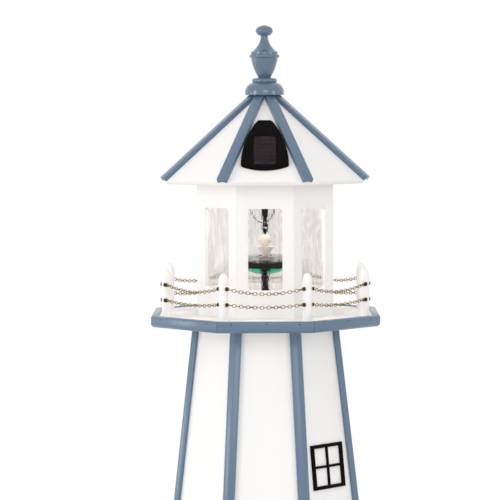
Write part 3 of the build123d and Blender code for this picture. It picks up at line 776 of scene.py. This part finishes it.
def turned(outline, seat, steps=0):
    """Bmesh of an outline turned round the axis.

    Its points are (radius, height, bulge to reach this point), in millimetres above the seat.
    """
    bm = bmesh.new()
    first = outline[0]
    last = bm.verts.new((first[0] * MM, 0, seat + first[1] * MM))
    for point in outline[1:]:
        bulge = point[2] * MM if len(point) > 2 else 0.0
        last = outline_to(bm, last, Vector((point[0] * MM, 0, seat + point[1] * MM)), bulge)
    join_doubles(bm)
    full_turn(bm, steps or sizes().turned_steps)
    join_doubles(bm)
    bmesh.ops.dissolve_degenerate(bm, dist=MERGE_DISTANCE / 10, edges=bm.edges[:])
    bmesh.ops.recalc_face_normals(bm, faces=bm.faces[:])
    return bm


def repeated(shape, places):
    """Bmesh with a copy of a shape at each place."""
    mesh = bpy.data.meshes.new("repeated_shape")
    shape.to_mesh(mesh)
    shape.free()
    bm = bmesh.new()
    for place in places:
        known = len(bm.verts)
        bm.from_mesh(mesh)
        bm.verts.ensure_lookup_table()
        bmesh.ops.transform(bm, matrix=place, verts=bm.verts[known:])
    bpy.data.meshes.remove(mesh)
    return bm


def span_place(index, height):
    """Place of a railing span: its origin at a post, with local X towards the next post."""
    angle = -math.pi / 2 + index * 2 * HALF_STEP
    post = Matrix.Rotation(angle - HALF_STEP, 4, "Z") @ Vector((POST_CIRCLE, 0, height))
    return Matrix.Translation(post) @ Matrix.Rotation(angle + math.pi / 2, 4, "Z")


# Pieces


class LIGHTHOUSE_OT_lamp_wire(bpy.types.Operator):
    """Hang the loose wire in its loop below the roof plate."""

    bl_idname = "lighthouse.lamp_wire"
    bl_label = "Lamp wire"

    def execute(self, context):
        diameter = sizes().wire_diameter
        curve = bpy.data.curves.new("lamp_wire_loop", "CURVE")
        curve.dimensions = "3D"
        curve.bevel_depth = diameter / 2
        curve.bevel_resolution = 3
        curve.use_fill_caps = True
        spline = curve.splines.new("NURBS")
        spline.points.add(len(WIRE_ROUTE) - 1)
        for point, (x, y, drop) in zip(spline.points, WIRE_ROUTE):
            point.co = (x, y, LANTERN_TOP + drop, 1)
        spline.order_u = 3
        spline.use_endpoint_u = True
        spline.resolution_u = 10
        curve.materials.append(wire_sheath())
        wire = bpy.data.objects.new("lamp_wire_loop", curve)
        context.scene.collection.objects.link(wire)
        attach(wire, "roof")
        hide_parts("lamp_wire")
        return {"FINISHED"}


class LIGHTHOUSE_OT_tower(bpy.types.Operator):
    """Ease and paint the tower's boards, corner trims, skirt and window frame."""

    bl_idname = "lighthouse.tower"
    bl_label = "Tower"

    def execute(self, context):
        for number in NUMBERS:
            white_board(f"tower_panel_{number}", "tower")
            blue_trim(f"corner_trim_{number}", "tower")
        blue_trim("base_skirt", "tower")
        eased_piece(
            "tower_window", sizes().board_easing, black_plastic(), "tower"
        )
        return {"FINISHED"}


class LIGHTHOUSE_OT_deck(bpy.types.Operator):
    """Ease and paint the deck floor and its rim."""

    bl_idname = "lighthouse.deck"
    bl_label = "Deck"

    def execute(self, context):
        white_board("deck_board", "tower")
        blue_trim("deck_rim", "tower")
        return {"FINISHED"}


class LIGHTHOUSE_OT_railing_posts(bpy.types.Operator):
    """Turn the eight bullet-topped railing posts."""

    bl_idname = "lighthouse.railing_posts"
    bl_label = "Railing posts"

    def execute(self, context):
        post = turned([(0, 0), (9.5, 0), (9.5, 78), (6.6, 90, 0.9), (0, 95, 1.1)], DECK_TOP)
        out = Matrix.Translation((POST_CIRCLE, 0, 0))
        places = [
            Matrix.Rotation((2 * number + 1) * HALF_STEP, 4, "Z") @ out for number in range(SIDES)
        ]
        finished(
            "turned_posts", repeated(post, places), white_paint(), "tower",
            ["railing_posts"], TURNED_SMOOTH,
        )
        return {"FINISHED"}


class LIGHTHOUSE_OT_rim_nails(bpy.types.Operator):
    """Set the small nail heads in the rim boards."""

    bl_idname = "lighthouse.rim_nails"
    bl_label = "Rim nails"

    def execute(self, context):
        radius = sizes().nail_diameter / 2
        nail = bmesh.new()
        bmesh.ops.create_cone(
            nail, cap_ends=True, segments=NAIL_SIDES, radius1=radius, radius2=radius * NAIL_TAPER,
            depth=NAIL_HEIGHT,
        )
        flat = Matrix.Rotation(math.pi / 2, 4, "X")
        places = []
        for index in range(SIDES):
            face = Matrix.Rotation(index * 2 * HALF_STEP, 4, "Z")
            for across, drop in NAIL_SPOTS:
                spot = Matrix.Translation((across * MM, -RIM_REACH, RIM_TOP - drop * MM))
                places.append(face @ spot @ flat)
        finished(
            "rim_nails", repeated(nail, places), bronze_metal(), "tower",
            smooth_angle=TURNED_SMOOTH,
        )
        return {"FINISHED"}


class LIGHTHOUSE_OT_chain_screws(bpy.types.Operator):
    """Turn the round-headed screws that hold the chains."""

    bl_idname = "lighthouse.chain_screws"
    bl_label = "Chain screws"

    def execute(self, context):
        head = sizes().screw_head / 2 / MM
        outline = [
            (0, SHANK_START), (SHANK_RADIUS, SHANK_START), (SHANK_RADIUS, HEAD_SEAT),
            (head - 0.2, HEAD_SEAT), (head, HEAD_SEAT + 0.3), (0, HEAD_SEAT + 2.4, 0.7),
        ]
        screw = turned(outline, 0.0, SCREW_STEPS)
        across = Matrix.Rotation(math.pi / 2, 4, "Y")
        places = []
        for height in SCREW_ROWS.values():
            for index in range(SIDES):
                span = span_place(index, DECK_TOP + height)
                places += [span @ NEAR_SCREW @ across, span @ FAR_SCREW @ across]
        finished(
            "turned_screws", repeated(screw, places), bronze_metal(), "tower",
            ["chain_screws"], SCREW_SMOOTH,
        )
        return {"FINISHED"}


class LIGHTHOUSE_OT_chains(bpy.types.Operator):
    """Link the two rows of brass chain between the posts."""

    bl_idname = "lighthouse.chains"
    bl_label = "Chains"

    def link(self, pitch):
        """One oval link with its long side along X and its face to Z."""
        wire = sizes().link_wire
        width_middle = sizes().link_width - wire
        stretch = pitch + wire - width_middle
        bm = bmesh.new()
        bmesh.ops.create_circle(bm, segments=LINK_WIRE_SIDES, radius=wire / 2)
        upright = Matrix.Rotation(math.pi / 2, 4, "X")
        stand = Matrix.Translation((width_middle / 2, 0, 0)) @ upright
        start = Matrix.Rotation(math.pi / LINK_STEPS, 4, "Z") @ stand
        bmesh.ops.transform(bm, matrix=start, verts=bm.verts[:])
        full_turn(bm, LINK_STEPS)
        for side in (1, -1):
            half = [vertex for vertex in bm.verts if vertex.co.x * side > 0]
            bmesh.ops.translate(bm, vec=(side * stretch / 2, 0, 0), verts=half)
        bmesh.ops.recalc_face_normals(bm, faces=bm.faces[:])
        return bm

    def span_links(self, sag):
        """Pitch of the links, and their places in one span.

        Two links hang on the screws, and an odd number between them lies on a sagging parabola.
        """
        seat = LINK_SEAT * MM
        slip = SHANK_RADIUS * MM
        opening = SPAN - 2 * seat * math.cos(SCREW_TURN)
        slope = math.atan(4 * sag / opening)
        slack = 1 + 8 / 3 * (sag / opening) ** 2
        end_share = math.cos(slope) * math.sin(SCREW_TURN)
        count = 2 * round(slack * opening / sizes().link_pitch / 2 - end_share - 0.5) + 1
        pitch = slack * (opening + 2 * slip * end_share) / (count + 2 * slack * end_share)
        face = Vector((1, 0, 0))
        places = []
        joints = []
        for screw, side in ((NEAR_SCREW, 1), (FAR_SCREW, -1)):
            way = Vector((0, side * math.cos(slope), -math.sin(slope)))
            middle = face * seat + way * (pitch / 2 - slip)
            turn = Matrix((way, face.cross(way), face)).transposed().to_4x4()
            places.append(screw @ Matrix.Translation(middle) @ turn)
            joints.append(screw @ (middle + way * (pitch / 2)))
        first, last = joints
        points = []
        for number in range(count + 1):
            share = number / count
            drop = 4 * sag * share * (1 - share)
            points.append(first.lerp(last, share) - Vector((0, 0, drop)))
        for number, (start, end) in enumerate(zip(points, points[1:])):
            lean = -math.atan2(end.z - start.z, end.x - start.x)
            uneven = LINK_ROLL * math.sin(LINK_ROLL_PACE * number)
            roll = math.radians(90 * (number % 2) + uneven)
            lie = Matrix.Translation((start + end) / 2) @ Matrix.Rotation(lean, 4, "Y")
            places.append(lie @ Matrix.Rotation(roll, 4, "X"))
        return pitch, places

    def row(self, name, node, height, sag):
        """All links of one row round the deck."""
        pitch, places = self.span_links(sag)
        spans = [span_place(index, DECK_TOP + height) for index in range(SIDES)]
        links = repeated(self.link(pitch), [span @ place for span in spans for place in places])
        finished(name, links, brass_metal(), "tower", [node], LINK_SMOOTH)

    def execute(self, context):
        for row in ("upper", "lower"):
            self.row(f"{row}_links", f"{row}_chain", SCREW_ROWS[row], ROW_SAGS[row])
        return {"FINISHED"}


class LIGHTHOUSE_OT_lantern(bpy.types.Operator):
    """Ease and paint the lantern's boards and glaze its openings."""

    bl_idname = "lighthouse.lantern"
    bl_label = "Lantern"

    def execute(self, context):
        white_board("lantern_walls", "tower")
        panes = merged_copy("lantern_panes")
        inwards = 1 - sizes().glass_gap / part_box("lantern_panes")[1][1]
        bmesh.ops.scale(panes, vec=(inwards, inwards, 1), verts=panes.verts[:])
        finished(
            "glazed_panes", panes, pane_glass(), "tower", ["lantern_panes"]
        )
        return {"FINISHED"}


class LIGHTHOUSE_OT_roof(bpy.types.Operator):
    """Ease and paint the roof boards, hip battens, and the plate and cleats under them."""

    bl_idname = "lighthouse.roof"
    bl_label = "Roof"

    def execute(self, context):
        for number in NUMBERS:
            white_board(f"roof_panel_{number}", "roof", sizes().eave_undercut)
            blue_trim(f"roof_rib_{number}", "roof")
        white_board("roof_plate", "roof")
        white_board("roof_cleats", "roof")
        return {"FINISHED"}


class LIGHTHOUSE_OT_finial(bpy.types.Operator):
    """Turn the finial on the roof."""

    bl_idname = "lighthouse.finial"
    bl_label = "Finial"

    def execute(self, context):
        outline = [
            (0, -22), (16, -22), (16, 0), (38.8, 0), (39.4, 0.6), (39.4, 2.2), (24, 25.2, 5.4),
            (19, 34, 3.8), (12.4, 35.5), (27, 74.5, 2.2), (27, 82.5, 3.4), (27, 86.7),
            (6.9, 118.6, -4.6), (17.6, 129.5, 2.4), (11.8, 137.6, 1.2), (0, 141, 0.5),
        ]
        finished(
            "turned_finial", turned(outline, FINIAL_SEAT), turned_blue_paint(), "roof",
            ["finial"], FINIAL_SMOOTH,
        )
        return {"FINISHED"}


class LIGHTHOUSE_OT_solar_unit(bpy.types.Operator):
    """Dress the solar unit on the front roof board."""

    bl_idname = "lighthouse.solar_unit"
    bl_label = "Solar unit"

    def execute(self, context):
        eased_piece("solar_case", sizes().case_easing, black_plastic(), "roof")
        dress(["solar_cells"], solar_cell_film())
        cover = merged_copy("solar_cover")
        under = [
            face for face in cover.faces
            if face.normal.y > UNDERSIDE_TILT and face.normal.z < -UNDERSIDE_TILT
        ]
        lower = {vert for face in under for vert in face.verts}
        lift = -sizes().glass_gap * under[0].normal
        bmesh.ops.translate(cover, vec=lift, verts=list(lower))
        finished("cover_sheet", cover, cover_glass(), "roof", ["solar_cover"])
        return {"FINISHED"}


class LIGHTHOUSE_OT_beacon(bpy.types.Operator):
    """Turn the beacon's post and rotor, and glaze its lenses."""

    bl_idname = "lighthouse.beacon"
    bl_label = "Beacon"

    def execute(self, context):
        stand_height = 75
        stand = [
            (0, 41), (0, 0), (30, 0), (30, 3), (7, 6), (7, 35), (7, 49, 1.5), (7, stand_height),
            (5.3, stand_height), (5.3, 41), (0, 41),
        ]
        finished(
            "turned_stand", turned(stand, STAND_TOP - stand_height * MM), black_plastic(), "tower",
            ["beacon_stand"], TURNED_SMOOTH,
        )
        disc_bottom = 18
        hub = [
            (1.55, 0), (1.55, 21), (46, 21), (46, 26.4), (46.6, 27), (49.4, 27), (50, 26.4),
            (50, 18.6), (49.4, disc_bottom), (20, disc_bottom), (7, 0, 4.1), (1.55, 0),
        ]
        finished(
            "turned_hub", turned(hub, HUB_BOTTOM), black_plastic(), "rotor",
            ["rotor_hub"], TURNED_SMOOTH,
        )
        bowl = [(10, -15), (48, 0, 3.6), (46, 0), (10, -13, -3.6), (10, -15)]
        finished(
            "teal_bowl", turned(bowl, HUB_BOTTOM + disc_bottom * MM), teal_lens_glass(), "rotor",
            ["green_lens"], TURNED_SMOOTH,
        )
        dress(["clear_lens"], clear_lens_glass())
        dress(["rotor_shaft", "gear_motor"], brushed_steel())
        return {"FINISHED"}


class LIGHTHOUSE_OT_lamp(bpy.types.Operator):
    """Turn the lamp and its cone, and dress the hanger under the roof."""

    bl_idname = "lighthouse.lamp"
    bl_label = "Lamp"

    def execute(self, context):
        cone = [(0, 0), (0.8, 0), (18, 26), (8.15, 26), (8.15, 24.4), (15.6, 24.4), (0, 2.8)]
        finished(
            "turned_cone", turned(cone, CONE_TIP), white_cone(), "roof",
            ["lamp_cone"], TURNED_SMOOTH,
        )
        head = [(0, -18), (3.2, -18), (8, -4), (8, 4), (12, 7.5), (4.2, 25, 3.3), (0, 25)]
        finished(
            "turned_lamp", turned(head, CONE_TOP), cream_lamp(), "roof",
            ["lamp_bulb"], TURNED_SMOOTH,
        )
        dress(["lamp_hanger"], black_plastic())
        return {"FINISHED"}


class LIGHTHOUSE_OT_inner_parts(bpy.types.Operator):
    """Dress the cells and circuit inside the roof."""

    bl_idname = "lighthouse.inner_parts"
    bl_label = "Inner parts"

    def execute(self, context):
        dress(["battery_pack"], battery_sleeve())
        dress(["circuit_board"], circuit_lacquer())
        return {"FINISHED"}


class LIGHTHOUSE_OT_stage(bpy.types.Operator):
    """Lay the pale floor, hang the lamps and set the camera."""

    bl_idname = "lighthouse.stage"
    bl_label = "Stage"

    def floor(self):
        """Pale floor that keeps a shadow near the object and is white further out."""
        bm = bmesh.new()
        bmesh.ops.create_circle(bm, cap_ends=True, segments=64, radius=FLOOR_RADIUS)
        bmesh.ops.translate(bm, vec=(0, 0, -FLOOR_DROP), verts=bm.verts[:])
        mesh = bpy.data.meshes.new("floor")
        bm.to_mesh(mesh)
        bm.free()
        floor = bpy.data.objects.new("floor", mesh)
        bpy.context.scene.collection.objects.link(floor)
        mesh.materials.append(self.floor_material())

    def floor_material(self):
        """Pale grey that turns white for the camera and reflections, away from the object."""
        material, tree, shader = plain_material("pale_floor")
        set_inputs(shader, base_color=FLOOR_GREY, roughness=0.9)
        place = add_node(tree, "TexCoord")
        reach = add_node(tree, "VectorMath")
        reach.operation = "LENGTH"
        connect(tree, place, "Object", reach, 0)
        shadow_reach, white_reach = FLOOR_REACHES
        far = add_node(tree, "MapRange", from_min=shadow_reach, from_max=white_reach)
        connect(tree, reach, "Value", far, "Value")
        white_share = add_math(tree, "MULTIPLY")
        connect(tree, far, "Result", white_share, 0)
        connect(tree, self.seen_ray(tree), "Value", white_share, 1)
        glow = add_node(tree, "Emission", color=(1, 1, 1, 1))
        mixed = add_node(tree, "MixShader")
        connect(tree, white_share, "Value", mixed, "Fac")
        connect(tree, shader, "BSDF", mixed, 1)
        connect(tree, glow, "Emission", mixed, 2)
        connect(tree, mixed, "Shader", tree.nodes["Material Output"], "Surface")
        return material

    def seen_ray(self, tree):
        """Node that is 1 for camera, glossy and transmission rays."""
        path = add_node(tree, "LightPath")
        first = add_math(tree, "MAXIMUM")
        connect(tree, path, "Is Camera Ray", first, 0)
        connect(tree, path, "Is Glossy Ray", first, 1)
        second = add_math(tree, "MAXIMUM")
        connect(tree, first, "Value", second, 0)
        connect(tree, path, "Is Transmission Ray", second, 1)
        return second

    def world(self):
        """Soft even light all round, with a white backdrop for the camera and reflections."""
        world = bpy.data.worlds.new("studio")
        bpy.context.scene.world = world
        world.use_nodes = True
        tree = world.node_tree
        soft = tree.nodes["Background"]
        set_inputs(soft, color=(*WARM_WHITE, 1), strength=SOFT_LIGHT)
        white = add_node(tree, "Background", color=(1, 1, 1, 1), strength=1.0)
        mixed = add_node(tree, "MixShader")
        connect(tree, self.seen_ray(tree), "Value", mixed, "Fac")
        connect(tree, soft, "Background", mixed, 1)
        connect(tree, white, "Background", mixed, 2)
        connect(tree, mixed, "Shader", tree.nodes["World Output"], "Surface")

    def lamp(self, name, place, aim, width, height, power):
        """Studio lamp aimed at a point."""
        light = bpy.data.lights.new(name, "AREA")
        light.shape = "RECTANGLE"
        light.size = width
        light.size_y = height
        light.energy = power
        light.color = WARM_WHITE
        lamp = bpy.data.objects.new(name, light)
        lamp.location = place
        lamp.rotation_euler = (Vector(aim) - Vector(place)).to_track_quat("-Z", "Y").to_euler()
        lamp.visible_camera = False
        bpy.context.scene.collection.objects.link(lamp)

    def camera(self):
        """Camera at the photograph's viewing angle."""
        camera_data = bpy.data.cameras.new("camera")
        camera_data.sensor_width = SENSOR_WIDTH
        camera_data.lens = SENSOR_WIDTH * FOCAL_PIXELS / PICTURE_PIXELS
        camera = bpy.data.objects.new("camera", camera_data)
        camera.location = CAMERA_PLACE
        camera.rotation_euler = Euler([math.radians(angle) for angle in CAMERA_TURN])
        bpy.context.scene.collection.objects.link(camera)
        bpy.context.scene.camera = camera

    def execute(self, context):
        self.floor()
        self.world()
        for row in LAMPS:
            self.lamp(*row)
        self.camera()
        context.scene.view_settings.view_transform = "Standard"
        return {"FINISHED"}


OPERATORS = (
    LIGHTHOUSE_OT_lamp_wire,
    LIGHTHOUSE_OT_tower,
    LIGHTHOUSE_OT_deck,
    LIGHTHOUSE_OT_railing_posts,
    LIGHTHOUSE_OT_rim_nails,
    LIGHTHOUSE_OT_chain_screws,
    LIGHTHOUSE_OT_chains,
    LIGHTHOUSE_OT_lantern,
    LIGHTHOUSE_OT_roof,
    LIGHTHOUSE_OT_finial,
    LIGHTHOUSE_OT_solar_unit,
    LIGHTHOUSE_OT_beacon,
    LIGHTHOUSE_OT_lamp,
    LIGHTHOUSE_OT_inner_parts,
    LIGHTHOUSE_OT_stage,
)


class LIGHTHOUSE_PT_panel(bpy.types.Panel):
    """Lists the lighthouse's pieces, sizes and colours."""

    bl_label = "Lighthouse"
    bl_space_type = "VIEW_3D"
    bl_region_type = "UI"
    bl_category = "Lighthouse"

    def draw(self, context):
        for group in (context.scene.lighthouse_sizes, context.scene.lighthouse_colours):
            box = self.layout.box()
            for name in group.__annotations__:
                box.prop(group, name)
        for operator in OPERATORS:
            self.layout.operator(operator.bl_idname)


CLASSES = (LighthouseColours, LighthouseSizes, *OPERATORS, LIGHTHOUSE_PT_panel)


def register():
    """Register the classes and their settings on the scene."""
    for each in CLASSES:
        bpy.utils.register_class(each)
    bpy.types.Scene.lighthouse_colours = PointerProperty(type=LighthouseColours)
    bpy.types.Scene.lighthouse_sizes = PointerProperty(type=LighthouseSizes)


def unregister():
    """Take the settings and classes away again."""
    del bpy.types.Scene.lighthouse_sizes
    del bpy.types.Scene.lighthouse_colours
    for each in reversed(CLASSES):
        bpy.utils.unregister_class(each)


def main():
    """Build every piece in order."""
    register()
    bpy.ops.lighthouse.lamp_wire()
    bpy.ops.lighthouse.tower()
    bpy.ops.lighthouse.deck()
    bpy.ops.lighthouse.railing_posts()
    bpy.ops.lighthouse.rim_nails()
    bpy.ops.lighthouse.chain_screws()
    bpy.ops.lighthouse.chains()
    bpy.ops.lighthouse.lantern()
    bpy.ops.lighthouse.roof()
    bpy.ops.lighthouse.finial()
    bpy.ops.lighthouse.solar_unit()
    bpy.ops.lighthouse.beacon()
    bpy.ops.lighthouse.lamp()
    bpy.ops.lighthouse.inner_parts()
    bpy.ops.lighthouse.stage()


if __name__ == "__main__":
    main()
